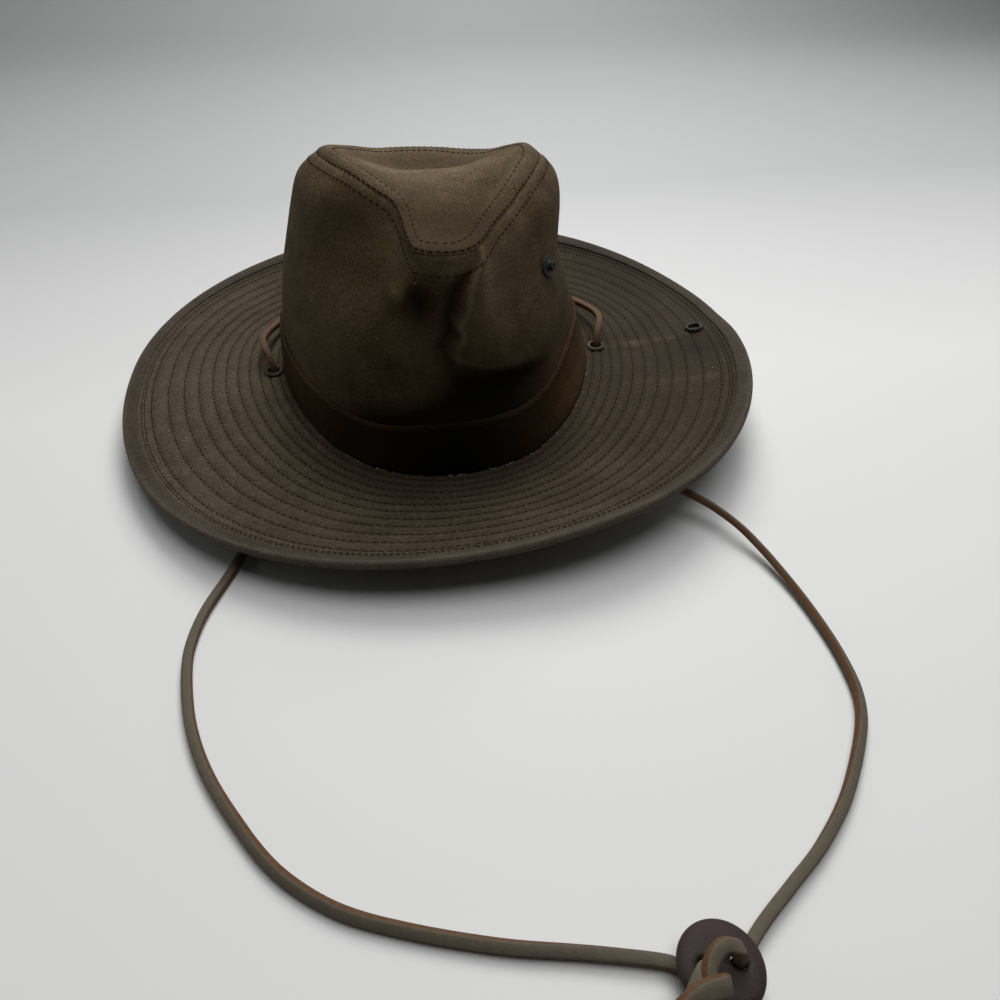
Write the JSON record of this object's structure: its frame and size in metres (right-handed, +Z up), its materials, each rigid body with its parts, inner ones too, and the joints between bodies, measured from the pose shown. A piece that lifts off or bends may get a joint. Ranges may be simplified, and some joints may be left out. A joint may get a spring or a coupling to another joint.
{
  "type": "bush hat",
  "caption": "Bush hat of waxed cotton with a pinched crown, a wide brim stitched in rings, a dark band and a leather chin lace with a toggle, resting on a table.",
  "frame": {"origin": "centre of the hat's plan on the surface that it rests on, measured without the lace, the toggle and the knot", "axes": "+Z up, -Y towards the hat's front, where the prow of the crown and the toggle are, and +X towards the wearer's left side"},
  "size_m": [0.3263, 0.5334, 0.1204],
  "materials": {
    "crown_cloth": "waxed cotton, dull, rubbed paler along folds",
    "band_cloth": "waxed cotton, dull, darker than the crown",
    "brim_cloth": "waxed cotton, dull, with rows of dark stitching",
    "binding_cloth": "waxed cotton, dull, folded over the edge",
    "eyelet_brass": "aged, dark",
    "snap_metal": "dark green-black, worn",
    "lace_leather": "suede face with darker red-brown sides",
    "toggle_leather": "dark brown, smooth"
  },
  "bodies": {
    "root": {"crown_wall": "crown_cloth", "crown_tip": "crown_cloth", "band": "band_cloth", "brim": "brim_cloth", "edge_binding": "binding_cloth", "eyelet_left": "eyelet_brass", "eyelet_right": "eyelet_brass", "snap_stud": "snap_metal", "snap_socket": "snap_metal", "lace_back": "lace_leather", "lace_left": "lace_leather", "lace_right": "lace_leather", "toggle": "toggle_leather", "lace_knot": "lace_leather"}
  },
  "joints": []
}
